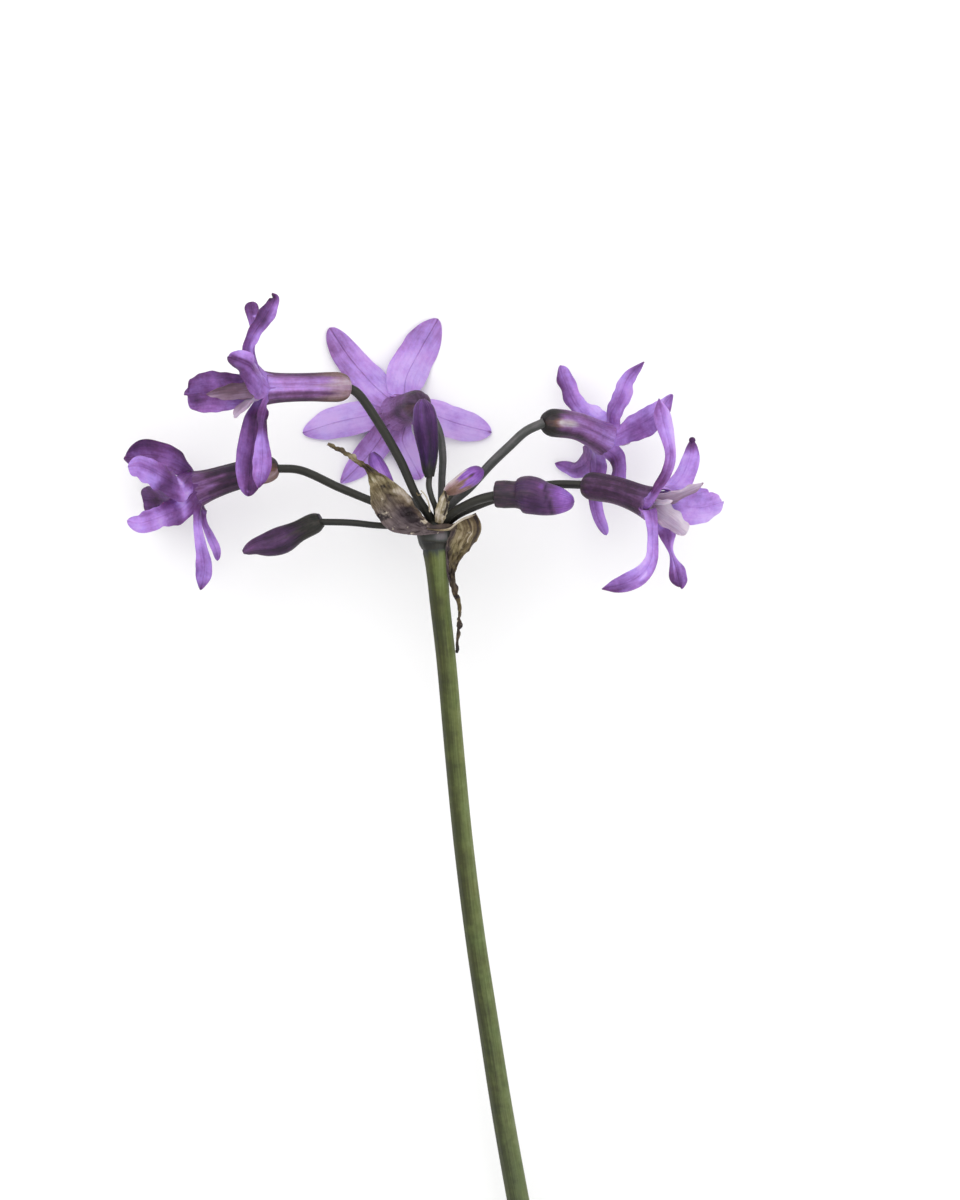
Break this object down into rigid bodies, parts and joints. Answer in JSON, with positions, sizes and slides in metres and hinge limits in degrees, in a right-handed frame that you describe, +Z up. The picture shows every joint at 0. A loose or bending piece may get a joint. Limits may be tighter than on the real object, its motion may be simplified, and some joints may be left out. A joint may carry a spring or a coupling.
{
  "type": "society garlic flower head",
  "caption": "Cut society garlic flower head laid down: slim green stalk, dark flower stalks, lilac tubular blooms and buds, and a papery brown spathe.",
  "frame": {"origin": "on the surface that the cut flower lies on, under the middle of its box", "axes": "+Y along the stalk towards the flower head, +Z up from the surface, +X to the right seen from above with the head at the top"},
  "size_m": [0.0749, 0.1779, 0.0365],
  "materials": {
    "stalk_green": "satin fresh stalk with faint lengthwise ribs and bluish bloom",
    "dark_stalk": "satin, near-black green",
    "papery_spathe": "dry, papery and finely ribbed",
    "lilac_petal": "soft matte petal, veined, with darker ends",
    "corona_mauve": "soft matte, fleshy",
    "dark_bud": "soft matte, dark, with lengthwise streaks"
  },
  "bodies": {
    "root": {"scape": "stalk_green", "pedicels": "dark_stalk", "spathe": "papery_spathe", "flower_1": "lilac_petal", "flower_2": "lilac_petal", "flower_3": "lilac_petal", "flower_4": "lilac_petal", "flower_5": "lilac_petal", "corona_1": "corona_mauve", "corona_2": "corona_mauve", "corona_3": "corona_mauve", "corona_4": "corona_mauve", "corona_5": "corona_mauve", "bud_1": "dark_bud", "bud_2": "dark_bud", "bud_3": "dark_bud", "bud_4": "dark_bud", "bud_5": "dark_bud"}
  },
  "joints": []
}
